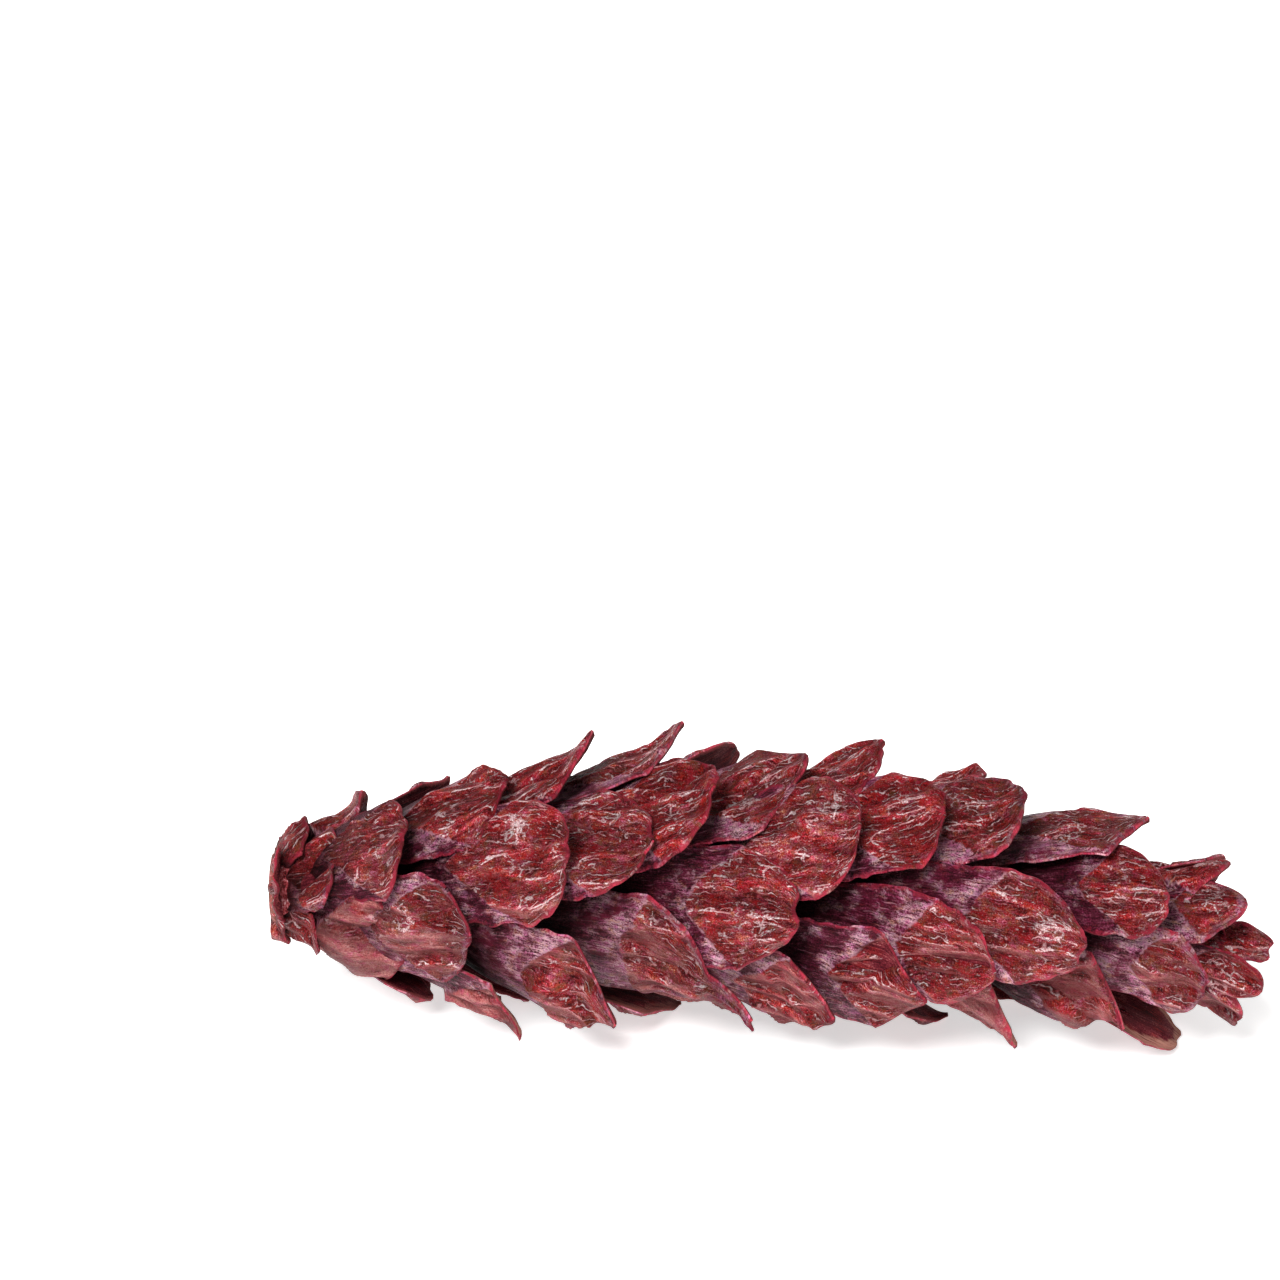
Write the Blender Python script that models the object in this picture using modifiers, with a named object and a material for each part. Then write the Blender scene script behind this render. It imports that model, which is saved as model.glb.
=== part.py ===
"""A dried cone of a white pine, lying on its side.

Thin woody scales grow from a slim axis along one spiral and lean towards the tip, so that each one
covers the roots of later ones. The long axis runs along X with the tip at +X, and the lowest scales
are pressed flat where they rest on z = 0. Metres throughout.
"""

import math

import bmesh
import bpy
import numpy as np
from mathutils import Vector

# Driving dimensions
SCALE_COUNT = 71
DIVERGENCE = math.radians(139.6)  # turn from one scale to the next
FIRST_TURN = math.radians(-126.0)  # turn of the lowest scale, from +Y towards +Z
BLADE_THICKNESS = 0.0011
AXIS_HEIGHT = 0.0216  # height of the cone's axis above the surface it rests on
CUTTER_SIZE = 0.3  # of the block whose top is the surface
SEED = 11

# How the scales change from the base of the cone to its tip: (number of the scale, value)
TIP_REACH = ((0, 0.0015), (3, 0.0040), (6, 0.0090), (9, 0.0145), (12, 0.0210), (17, 0.0344),
             (61, 0.1425), (67, 0.1452), (70, 0.1420))  # how far along the cone the scale's tip lies
LENGTH_ALONG = ((0, 0.0014), (3, 0.0034), (6, 0.0070), (9, 0.0120), (12, 0.0170), (20, 0.0260),
                (33, 0.0300), (50, 0.0280), (64, 0.0230), (70, 0.0183))  # root to tip, along the axis
TIP_RADIUS = ((0, 0.0063), (3, 0.0082), (6, 0.0100), (9, 0.0122), (12, 0.0150), (17, 0.0190),
              (22, 0.0208), (33, 0.0216), (40, 0.0220), (48, 0.0206), (53, 0.0184), (58, 0.0160),
              (62, 0.0130), (66, 0.0090), (70, 0.0061))
HALF_WIDTH = ((0, 0.0046), (6, 0.0060), (12, 0.0072), (18, 0.0092), (40, 0.0096), (50, 0.0084),
              (60, 0.0064), (67, 0.0046), (70, 0.0037))
ROOT_RADIUS = ((0, 0.0036), (8, 0.0031), (40, 0.0031), (60, 0.0022), (70, 0.0013))

# The woody axis: (distance from the base, radius)
AXIS_PROFILE = ((0.0000, 0.0042), (0.0010, 0.0058), (0.0800, 0.0054), (0.1120, 0.0040),
                (0.1360, 0.0012))
AXIS_SIDES = 8

# The cone leans forward and droops past the middle of its length
BEND_START = 0.093
BEND_SOFTNESS = 0.018
BEND_FORWARD = 0.15
BEND_DOWN = 0.09

# Blade form
ROOT_HALF_WIDTH = 0.0024
TIP_HALF_WIDTH = 0.0009
ROOT_LIFT = math.radians(24)  # how much steeper than its chord a scale leaves the axis
ROOT_PULL = 0.36  # how far along its chord the root and the tip still steer the blade's curve
TIP_PULL = 0.30
WEDGE_POWER = 1.6  # higher values keep the covered part of the blade narrow for longer
ROUND_POWERS = (2.2, 0.62)
BEAKED_POWERS = (0.95, 1.5)
LEAST_ARCH = 0.004  # the blade's cross-section never bends tighter than around this radius

# Scales that grew unlike the rule. turn, tilt and twist are in degrees, slide, rise, curl and hook in
# metres, and wide, beak and shoulder are ratios.
ODD_SCALES = {
    4: dict(slide=0.0, rise=0.0005, curl=0.0006),
    7: dict(slide=0.0, turn=0, wide=1.1),
    9: dict(slide=0.0006, rise=0.0006, curl=0.0010, beak=0.7, tilt=50),
    10: dict(slide=0.0018, turn=0, wide=1.25, curl=0.0002),
    12: dict(slide=0.0010, turn=8, wide=1.2),
    14: dict(slide=0.0012, rise=0.0010),
    15: dict(slide=0.0012, turn=6, wide=1.15, beak=0.3, curl=0.0005),
    17: dict(slide=0.0016, turn=8, wide=1.05),
    18: dict(slide=0.0020, rise=0.0010, beak=0.9, curl=0.0025),
    20: dict(slide=0.0038, turn=-13, wide=1.05, beak=0.1, curl=0.0005),
    21: dict(rise=0.0019),
    22: dict(slide=0.0032, turn=3, rise=0.0, beak=0.8, curl=0.0030),
    23: dict(slide=0.0028, turn=-8, wide=1.05, beak=0.8, curl=0.0015, hook=0.0040),
    25: dict(slide=0.0025, turn=-11, beak=0.1, curl=0.0005),
    26: dict(slide=0.0065, rise=-0.0006, beak=0.7, curl=0.0025),
    27: dict(slide=0.0032, turn=7, beak=0.8, curl=0.0020),
    28: dict(slide=0.0118, turn=0, wide=1.05, beak=1.1, curl=0.0030, hook=0.0066, shoulder=0.59),
    30: dict(slide=0.0005, turn=1, wide=1.08, beak=0.3, curl=0.0010),
    31: dict(slide=0.0020, rise=-0.0050),
    33: dict(slide=0.0040, turn=-9, beak=0.2, curl=0.0005),
    35: dict(slide=0.0018, turn=7, rise=0.0006, wide=1.12, beak=0.7, curl=0.0015),
    36: dict(slide=0.0028, turn=-20, rise=-0.0004, beak=0.6, curl=0.0005),
    38: dict(slide=0.0005, turn=-17, beak=0.1, curl=0.0003),
    40: dict(slide=0.0015, turn=4, rise=0.0, beak=0.7, curl=0.0015),
    41: dict(slide=0.0045, turn=-8, rise=0.0005, wide=1.05, beak=0.6, curl=0.0010),
    43: dict(slide=0.0010, turn=-11, wide=0.98, beak=0.1, curl=0.0003),
    44: dict(slide=0.0018, rise=-0.0010, beak=0.7, curl=0.0012),
    45: dict(slide=0.0050, turn=6, beak=0.6, curl=0.0005),
    46: dict(slide=0.0, turn=-4, wide=0.92, beak=0.3, curl=0.0005),
    48: dict(slide=0.0008, turn=6, rise=0.0006, wide=0.95, beak=0.0, curl=0.0005),
    49: dict(slide=-0.0015, turn=-8, rise=-0.0015, beak=0.9, curl=0.0018),
    51: dict(slide=0.0006, turn=-2, wide=0.96, beak=0.1, curl=0.0003),
    52: dict(rise=0.0016),
    53: dict(slide=0.0070, turn=11, rise=-0.0004, wide=1.05, beak=1.0, curl=0.0),
    54: dict(slide=-0.0005, turn=-17, wide=1.08, beak=0.5, curl=0.0012),
    56: dict(slide=0.0010, turn=-7, wide=0.88, beak=0.1, curl=0.0002),
    57: dict(slide=0.0042, turn=-10, rise=0.0006, wide=1.2, beak=0.4, curl=0.0010, twist=-20),
    58: dict(slide=0.0075, turn=18, rise=-0.0032, wide=1.15, beak=0.5, curl=0.0),
    59: dict(slide=-0.0015, turn=-14, beak=0.1, curl=0.0005),
    61: dict(slide=0.0003, turn=10, rise=-0.0008, beak=0.5, curl=0.0003),
    62: dict(slide=-0.0060, rise=-0.0050, beak=0.2, curl=0.0005),
    64: dict(slide=0.0025, turn=14, rise=-0.0010, beak=0.3),
    66: dict(slide=0.0030, turn=72, rise=-0.0020, wide=0.9, beak=0.2),
    67: dict(slide=-0.0010, turn=-6, rise=0.0025, wide=1.3, beak=0.2),
}

# Rows and columns of a blade's faces
ACROSS = (-1.0, -0.5, 0.0, 0.5, 1.0)
ROWS_TO_SHOULDER = (0.0, 0.38, 0.72, 1.0)
ROWS_PAST_SHOULDER = (0.5, 0.82, 1.0)
FULL_SIZED = range(10, 67)  # the scales before and after these are small and need fewer faces
SMALL_ACROSS = (-1.0, 0.0, 1.0)
SMALL_ROWS_PAST_SHOULDER = (0.6, 1.0)

# Material
BURGUNDY = (0.479, 0.165, 0.188)  # sRGB
ROUGHNESS = 0.6


def at(stations, number):
    """The value for a scale, read between the stations of a table."""
    places, values = zip(*stations)
    return float(np.interp(number, places, values))


def grow_scale(number, rng):
    """All the sizes of one scale: the rule, small random differences, and what is odd about it."""
    own = dict(
        turn=rng.normal(0, 3.0),
        slide=rng.normal(0, 0.0007),
        rise=rng.normal(0, 0.0005),
        tilt=rng.uniform(16, 28),
        curl=rng.uniform(0.0003, 0.0022),
        beak=rng.uniform(0.1, 0.7),
        wide=rng.uniform(0.94, 1.05),
        twist=rng.normal(0, 5),
        lean=rng.normal(0, 0.0010),
        arch=rng.uniform(1.1, 1.7),
        hook=rng.normal(0, 0.0008),
        shoulder=rng.uniform(0.74, 0.79),
    )
    own.update(ODD_SCALES.get(number, {}))
    reach = at(TIP_REACH, number)
    own["number"] = number
    own["angle"] = FIRST_TURN + DIVERGENCE * number + math.radians(own["turn"])
    own["tip"] = reach + own["slide"]
    own["root"] = max(reach - at(LENGTH_ALONG, number), 0.0006 + 0.00015 * number)
    own["tip_radius"] = at(TIP_RADIUS, number) + own["rise"]
    own["root_radius"] = at(ROOT_RADIUS, number)
    own["half_width"] = at(HALF_WIDTH, number) * own["wide"]
    return own


def midrib(scale, u):
    """Distance along the cone, radius and slope of the blade's midline, on one cubic curve."""
    root = np.array([scale["root"], scale["root_radius"]])
    tip = np.array([scale["tip"], scale["tip_radius"]])
    chord = np.linalg.norm(tip - root)
    rising = math.atan2(tip[1] - root[1], tip[0] - root[0])
    leaving = rising + ROOT_LIFT
    arriving = math.radians(scale["tilt"])
    first = root + ROOT_PULL * chord * np.array([math.cos(leaving), math.sin(leaving)])
    second = tip - TIP_PULL * chord * np.array([math.cos(arriving), math.sin(arriving)])
    t = np.asarray(u)[:, None]
    s = 1 - t
    place = s ** 3 * root + 3 * s ** 2 * t * first + 3 * s * t ** 2 * second + t ** 3 * tip
    pace = s ** 2 * (first - root) + 2 * s * t * (second - first) + t ** 2 * (tip - second)
    return place[:, 0], place[:, 1], np.arctan2(pace[:, 1], pace[:, 0])


def past_shoulder(scale, u):
    """0 up to the blade's widest place, and 1 at its tip."""
    return np.clip((u - scale["shoulder"]) / (1 - scale["shoulder"]), 0, 1)


def outline(scale, u):
    """Half the width of the blade: a wedge from the root to the shoulder, then round or beaked."""
    widest = scale["half_width"]
    narrowest = min(ROOT_HALF_WIDTH, 0.5 * widest)
    wedge = np.sin(0.5 * math.pi * np.clip(u / scale["shoulder"], 0, 1)) ** WEDGE_POWER
    t = past_shoulder(scale, u)
    rounded = (1 - t ** ROUND_POWERS[0]) ** ROUND_POWERS[1]
    beaked = (1 - t ** BEAKED_POWERS[0]) ** BEAKED_POWERS[1]
    end = TIP_HALF_WIDTH + (widest - TIP_HALF_WIDTH) * (rounded + scale["beak"] * (beaked - rounded))
    return np.where(t > 0, end, narrowest + (widest - narrowest) * wedge)


def bend(x):
    """How far the cone's axis lies forward and down at a distance from the base."""
    past = x - BEND_START
    eased = 0.5 * (past + np.sqrt(past ** 2 + BEND_SOFTNESS ** 2))
    at_base = 0.5 * (math.hypot(BEND_START, BEND_SOFTNESS) - BEND_START)
    return -BEND_FORWARD * (eased - at_base), -BEND_DOWN * (eased - at_base)


def blade_points(scale, u, v):
    """Points on the outer face of a scale, for u from root to tip and v from side to side."""
    u, v = np.asarray(u, float), np.asarray(v, float)
    along, radius, slope = midrib(scale, u)
    out = np.array([0.0, math.cos(scale["angle"]), math.sin(scale["angle"])])
    side = np.array([0.0, -math.sin(scale["angle"]), math.cos(scale["angle"])])
    forward = np.array([1.0, 0.0, 0.0])
    face = np.cos(slope)[:, None] * out - np.sin(slope)[:, None] * forward
    turned = math.radians(scale["twist"]) * u
    across = np.cos(turned)[:, None] * side + np.sin(turned)[:, None] * face
    outward = np.cos(turned)[:, None] * face - np.sin(turned)[:, None] * side
    end = past_shoulder(scale, u) ** 2
    middle = along[:, None] * forward + radius[:, None] * out
    middle = middle + (scale["curl"] * end)[:, None] * face
    middle = middle + (scale["lean"] * u ** 2 + scale["hook"] * end)[:, None] * side
    arc = v[None, :] * outline(scale, u)[:, None]
    arch = (np.maximum(radius, LEAST_ARCH) * scale["arch"])[:, None]
    points = middle[:, None, :] + (arch * np.sin(arc / arch))[..., None] * across[:, None, :]
    points = points - (arch * (1 - np.cos(arc / arch)))[..., None] * outward[:, None, :]
    forward_lean, droop = bend(points[..., 0])
    points[..., 1] += forward_lean
    points[..., 2] += droop
    return points


def make_object(name, mesh, collection):
    made = bpy.data.objects.new(name, mesh)
    collection.objects.link(made)
    return made


def apply_modifiers(made):
    """Gives the object the mesh that its modifiers make, and removes them."""
    graph = bpy.context.evaluated_depsgraph_get()
    mesh = bpy.data.meshes.new_from_object(made.evaluated_get(graph))
    made.modifiers.clear()
    old = made.data
    made.data = mesh
    bpy.data.meshes.remove(old)


def make_scale(scale, collection):
    """One blade: an open sheet bent by the formulas above, and thickened inwards."""
    small = scale["number"] not in FULL_SIZED
    v = SMALL_ACROSS if small else ACROSS
    end_rows = SMALL_ROWS_PAST_SHOULDER if small else ROWS_PAST_SHOULDER
    shoulder = scale["shoulder"]
    u = [shoulder * row for row in ROWS_TO_SHOULDER]
    u += [shoulder + (1 - shoulder) * row for row in end_rows]
    points = blade_points(scale, u, v)

    sheet = bmesh.new()
    bmesh.ops.create_grid(sheet, x_segments=len(u) - 1, y_segments=len(v) - 1, size=1.0)
    root = {}
    for vertex in sheet.verts:
        row = round((vertex.co.x + 1) / 2 * (len(u) - 1))
        column = round((vertex.co.y + 1) / 2 * (len(v) - 1))
        vertex.co = points[row, column]
        if row == 0:
            root[column] = vertex
    if not small:  # the narrow root needs only half as many columns
        last = len(v) - 1
        bmesh.ops.weld_verts(sheet, targetmap={root[1]: root[0], root[last - 1]: root[last]})
    bmesh.ops.triangulate(sheet, faces=sheet.faces[:], quad_method="FIXED")
    sheet.normal_update()
    out = Vector((0.0, math.cos(scale["angle"]), math.sin(scale["angle"])))
    if sum(face.normal.dot(out) * face.calc_area() for face in sheet.faces) < 0:
        bmesh.ops.reverse_faces(sheet, faces=sheet.faces[:])
    mesh = bpy.data.meshes.new("scale_%02d" % scale["number"])
    sheet.to_mesh(mesh)
    sheet.free()

    made = make_object(mesh.name, mesh, collection)
    thick = made.modifiers.new("blade", "SOLIDIFY")
    thick.thickness = BLADE_THICKNESS
    thick.offset = -1.0
    apply_modifiers(made)
    return made


def make_axis(collection):
    """The woody axis: a turned profile that follows the bend of the cone."""
    mesh = bpy.data.meshes.new("axis")
    start, end = AXIS_PROFILE[0][0], AXIS_PROFILE[-1][0]
    profile = [(start, 0.0, 0.0)] + [(x, 0.0, r) for x, r in AXIS_PROFILE] + [(end, 0.0, 0.0)]
    mesh.from_pydata(profile, [(i, i + 1) for i in range(len(profile) - 1)], [])
    made = make_object("pine_cone", mesh, collection)
    turn = made.modifiers.new("turned", "SCREW")
    turn.axis = "X"
    turn.steps = AXIS_SIDES
    turn.render_steps = AXIS_SIDES
    turn.use_merge_vertices = True
    turn.merge_threshold = 0.00001
    apply_modifiers(made)

    body = bmesh.new()
    body.from_mesh(made.data)
    for vertex in body.verts:
        lean, droop = bend(vertex.co.x)
        vertex.co.y += lean
        vertex.co.z += droop
    bmesh.ops.recalc_face_normals(body, faces=body.faces[:])
    body.to_mesh(made.data)
    body.free()
    return made


def join_scales(made, scales):
    """Fuses the scales and the axis into one body."""
    union = made.modifiers.new("grown_together", "BOOLEAN")
    union.operation = "UNION"
    union.operand_type = "COLLECTION"
    union.collection = scales
    union.solver = "EXACT"
    apply_modifiers(made)
    for scale in list(scales.objects):
        bpy.data.objects.remove(scale)
    bpy.data.collections.remove(scales)


def rest_on_surface(made, cutters):
    """Moves the cone over the origin, and flattens the scale tips that it rests on at z = 0."""
    corners = np.array([vertex.co for vertex in made.data.vertices])
    centre = 0.5 * (corners.min(axis=0) + corners.max(axis=0))
    made.location = (-centre[0], -centre[1], AXIS_HEIGHT)
    bpy.ops.mesh.primitive_cube_add(size=CUTTER_SIZE, location=(0.0, 0.0, -0.5 * CUTTER_SIZE))
    table = bpy.context.object
    table.name = "resting_surface"
    for collection in list(table.users_collection):
        collection.objects.unlink(table)
    cutters.objects.link(table)
    table.hide_render = True
    table.display_type = "WIRE"
    cut = made.modifiers.new("flat_spots", "BOOLEAN")
    cut.operation = "DIFFERENCE"
    cut.object = table


def painted_wood():
    """Dry woody scales under a thin coat of burgundy paint."""
    material = bpy.data.materials.new("painted_wood_burgundy")
    material.use_nodes = True
    shader = material.node_tree.nodes["Principled BSDF"]
    linear = [c / 12.92 if c <= 0.04045 else ((c + 0.055) / 1.055) ** 2.4 for c in BURGUNDY]
    shader.inputs["Base Color"].default_value = (*linear, 1.0)
    shader.inputs["Roughness"].default_value = ROUGHNESS
    shader.inputs["Metallic"].default_value = 0.0
    return material


def main():
    for old in list(bpy.data.objects):
        bpy.data.objects.remove(old)
    cone_parts = bpy.data.collections.new("pine_cone")
    scales = bpy.data.collections.new("scales")
    cutters = bpy.data.collections.new("cutters")
    for collection in (cone_parts, scales, cutters):
        bpy.context.scene.collection.children.link(collection)

    rng = np.random.default_rng(SEED)
    for number in range(SCALE_COUNT):
        make_scale(grow_scale(number, rng), scales)
    cone = make_axis(cone_parts)
    join_scales(cone, scales)
    rest_on_surface(cone, cutters)
    cone.data.materials.clear()
    cone.data.materials.append(painted_wood())
    cone.data.shade_smooth()
    cone.data.set_sharp_from_angle(angle=math.radians(40))


main()
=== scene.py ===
# Pine cone, painted dark red, lying on a pale table.
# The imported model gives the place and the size. Each woody scale is grown again here with its
# wrinkles, ragged rim and paint, by the rule that the model follows, and about a third of them
# are turned, moved or shaped a little unlike the model. Lengths are in metres unless a note says
# otherwise.

import math

import bpy
import numpy as np
from mathutils import Matrix, Vector


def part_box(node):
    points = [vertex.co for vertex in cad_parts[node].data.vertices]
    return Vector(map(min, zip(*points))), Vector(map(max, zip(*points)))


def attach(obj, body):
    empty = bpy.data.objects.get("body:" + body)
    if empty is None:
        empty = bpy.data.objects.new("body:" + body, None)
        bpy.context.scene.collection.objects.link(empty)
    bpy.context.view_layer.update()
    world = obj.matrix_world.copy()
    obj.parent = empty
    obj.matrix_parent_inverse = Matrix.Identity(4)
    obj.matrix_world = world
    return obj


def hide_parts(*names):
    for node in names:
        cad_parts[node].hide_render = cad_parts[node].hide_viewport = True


print("loading the packed cone")
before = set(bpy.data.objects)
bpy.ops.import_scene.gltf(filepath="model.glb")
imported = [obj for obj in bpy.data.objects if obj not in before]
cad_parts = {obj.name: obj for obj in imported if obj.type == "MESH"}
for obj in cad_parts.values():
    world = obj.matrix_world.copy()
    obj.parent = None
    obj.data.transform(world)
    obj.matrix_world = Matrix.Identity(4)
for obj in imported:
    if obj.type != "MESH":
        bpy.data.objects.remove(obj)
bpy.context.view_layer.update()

cone = {
    "scaleCount": 71,
    "turn": 139.6,  # degrees from one scale to the next
    "firstTurn": -126.0,  # degrees
    "seed": 11,
    "rows": 13,  # spiral rows, each a piece of its own
    "shift": (-0.074081, 0.001382, 0.0216),  # from the cone's base to where the imported model has it
    # number of the scale, then the value there
    "tipReach": ((0, 0.0015), (3, 0.0040), (6, 0.0090), (9, 0.0145), (12, 0.0210), (17, 0.0344),
                 (61, 0.1425), (67, 0.1452), (70, 0.1420)),
    "lengthAlong": ((0, 0.0014), (3, 0.0034), (6, 0.0070), (9, 0.0120), (12, 0.0170), (20, 0.0260),
                    (33, 0.0300), (50, 0.0280), (64, 0.0230), (70, 0.0183)),
    "tipRadius": ((0, 0.0063), (3, 0.0082), (6, 0.0100), (9, 0.0122), (12, 0.0150), (17, 0.0190),
                  (22, 0.0208), (33, 0.0216), (40, 0.0220), (48, 0.0206), (53, 0.0184), (58, 0.0160),
                  (62, 0.0130), (66, 0.0090), (70, 0.0061)),
    "halfWidth": ((0, 0.0046), (6, 0.0060), (12, 0.0072), (18, 0.0092), (40, 0.0096), (50, 0.0084),
                  (60, 0.0064), (67, 0.0046), (70, 0.0037)),
    "rootRadius": ((0, 0.0036), (8, 0.0031), (40, 0.0031), (60, 0.0022), (70, 0.0013)),
    "firstRoot": 0.0006,  # no root lies nearer to the base than this and a step for each number
    "rootStep": 0.00015,
    "rootOutStep": 0.0001,  # and roots stand out from the axis by a step for each number
    "rootOutMost": 0.0015,
    "bendStart": 0.093,  # the axis is straight up to about here
    "bendSoftness": 0.018,
    "bendForward": 0.15,
    "bendDown": 0.09,
}

# how scales differ by chance: a middle value and a spread, or a lowest and a highest value
byChance = {
    "turn": ("normal", 0, 3.0),  # degrees around the axis
    "slide": ("normal", 0, 0.0007),  # of the tip, along the axis
    "rise": ("normal", 0, 0.0005),  # of the tip, away from the axis
    "tilt": ("uniform", 16, 28),  # degrees that the end of the blade rises from the axis
    "curl": ("uniform", 0.0003, 0.0022),  # of the end, outwards
    "beak": ("uniform", 0.1, 0.7),  # 0 for a round end, 1 for a pointed one
    "wide": ("uniform", 0.94, 1.05),
    "twist": ("normal", 0, 5),  # degrees
    "lean": ("normal", 0, 0.0010),  # of the whole blade, sideways
    "arch": ("uniform", 1.1, 1.7),  # radius of the bent blade, over its distance from the axis
    "hook": ("normal", 0, 0.0008),  # of the end, sideways
    "shoulder": ("uniform", 0.74, 0.79),  # share of the blade up to its widest place
}

# Scales that grew unlike the rule. Beside the names above, fuller fills out the covered part,
# rootBack and rootOut move the root, bodyEnd and tail end the body early in a thin tail, face moves
# the border of the shown face towards the root, and bloom and tone belong to the paint.
oddScales = {
    4: dict(slide=0.0, rise=0.0005, curl=0.0006),
    7: dict(slide=0.0, turn=0, wide=1.1),
    9: dict(slide=0.0006, rise=0.0006, curl=0.0010, beak=0.7, tilt=50),
    10: dict(slide=0.0034, turn=0, wide=1.5, curl=0.0002),
    12: dict(slide=0.0010, turn=8, wide=1.2, face=0.10),
    14: dict(slide=0.0012, rise=0.0010, wide=0.62, beak=0.9),
    15: dict(slide=0.0012, turn=6, wide=1.15, beak=0.3, curl=0.0005, face=0.16),
    17: dict(slide=0.0016, turn=8, wide=1.05, face=0.22),
    18: dict(slide=0.0020, rise=0.0010, beak=0.9, curl=0.0025),
    20: dict(slide=0.0038, turn=-13, wide=1.05, beak=0.1, curl=0.0005, face=0.09),
    21: dict(rise=0.0019),
    22: dict(slide=0.0032, turn=3, rise=0.0, wide=1.08, beak=0.6, curl=0.0030, fuller=2.0, face=0.25),
    23: dict(slide=0.0028, turn=-8, wide=1.05, beak=0.8, curl=0.0015, hook=0.0040, bloom=1.0),
    25: dict(slide=0.0025, turn=-11, beak=0.1, curl=0.0005, face=0.10),
    26: dict(slide=0.0065, rise=-0.0006, beak=1.0, curl=0.0025, hook=0.0020),
    27: dict(slide=0.0032, turn=7, wide=1.1, beak=0.5, curl=0.0020, twist=-14, fuller=2.4, rootOut=0.003,
             face=0.25),
    28: dict(slide=0.0118, turn=0, wide=1.0, beak=0.3, curl=0.0030, hook=0.0066, shoulder=0.56,
             bodyEnd=0.54, tail=0.0021, face=-0.14, bloom=0.9),
    30: dict(slide=0.0005, turn=1, wide=1.08, beak=0.3, curl=0.0010, face=0.08),
    31: dict(slide=0.0020, rise=-0.0050),
    33: dict(slide=0.0040, turn=-9, beak=0.2, curl=0.0005, face=-0.07, bloom=0.35),
    35: dict(slide=0.0018, turn=7, rise=0.0002, wide=1.12, beak=0.7, curl=0.0012, face=0.12),
    36: dict(slide=0.0028, turn=-20, rise=-0.0004, beak=0.6, curl=0.0005),
    38: dict(slide=0.0012, turn=-13, beak=0.1, curl=0.0003),
    40: dict(slide=0.0015, turn=2, wide=1.12, beak=0.5, curl=0.0010, twist=-20, fuller=2.0, face=0.12),
    41: dict(slide=0.0034, turn=-11, rise=0.0005, wide=0.98, beak=0.85, curl=0.0010, face=-0.05),
    43: dict(slide=0.0010, turn=-11, wide=0.98, beak=0.1, curl=0.0003, tone=1.0),
    44: dict(slide=0.0018, rise=-0.0010, wide=0.85, beak=1.0, curl=0.0012, hook=0.0020),
    45: dict(slide=0.0050, turn=6, beak=0.6, curl=0.0005),
    46: dict(slide=0.0005, turn=-8, wide=0.90, beak=0.3, curl=0.0005, fuller=2.2, rootBack=0.005,
             rootOut=0.004, face=-0.06),
    48: dict(slide=0.0008, turn=6, rise=0.0006, wide=0.95, beak=0.0, curl=0.0005, face=0.08),
    49: dict(slide=-0.0015, turn=-8, rise=-0.0015, wide=1.15, beak=0.75, curl=0.0018),
    51: dict(slide=0.0006, turn=-2, wide=0.96, beak=0.1, curl=0.0003, fuller=2.6, rootBack=0.011,
             rootOut=0.007, face=-0.08, tone=1.0),
    52: dict(rise=0.0016),
    53: dict(slide=0.0070, turn=11, rise=-0.0004, wide=1.05, beak=0.7, curl=0.0, face=0.12),
    54: dict(slide=0.0010, turn=-17, wide=0.98, beak=1.0, curl=0.0012, hook=0.0034),
    56: dict(slide=0.0010, turn=-7, wide=0.88, beak=0.1, curl=0.0002),
    57: dict(slide=0.0042, turn=-10, rise=0.0006, wide=1.2, beak=0.4, curl=0.0010, twist=-20),
    58: dict(slide=0.0078, turn=18, rise=-0.0042, wide=1.12, beak=0.5, curl=0.0),
    59: dict(slide=-0.0010, turn=-14, wide=0.96, beak=0.15, curl=0.0005, fuller=1.6),
    61: dict(slide=0.0003, turn=10, rise=-0.0008, wide=0.94, beak=0.5, curl=0.0003, face=-0.10),
    62: dict(slide=-0.0060, rise=-0.0050, beak=0.2, curl=0.0005),
    64: dict(slide=0.0020, turn=9, rise=-0.0006, wide=0.80, beak=0.3),
    66: dict(slide=0.0030, turn=64, rise=-0.0014, wide=0.62, beak=0.1),
    67: dict(slide=-0.0010, turn=-9, rise=0.0025, wide=1.0, beak=0.1),
}


def stationValue(stations, number):
    places, values = zip(*stations)
    return float(np.interp(number, places, values))


def growScale(number, dice):
    own = {name: getattr(dice, kind)(first, second) for name, (kind, first, second) in byChance.items()}
    own.update(oddScales.get(number, {}))
    reach = stationValue(cone["tipReach"], number)
    nearest = cone["firstRoot"] + cone["rootStep"] * number
    rootOut = min(cone["rootOutMost"], cone["rootOutStep"] * number)
    own["number"] = number
    own["angle"] = math.radians(cone["firstTurn"] + cone["turn"] * number + own["turn"])
    own["tip"] = reach + own["slide"]
    own["root"] = max(reach - stationValue(cone["lengthAlong"], number), nearest) - own.get("rootBack", 0.0)
    own["tipRadius"] = stationValue(cone["tipRadius"], number) + own["rise"]
    own["rootRadius"] = stationValue(cone["rootRadius"], number) + own.get("rootOut", rootOut)
    own["halfWidth"] = stationValue(cone["halfWidth"], number) * own["wide"]
    own["long"] = math.hypot(own["tip"] - own["root"], own["tipRadius"] - own["rootRadius"])
    return own


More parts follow.
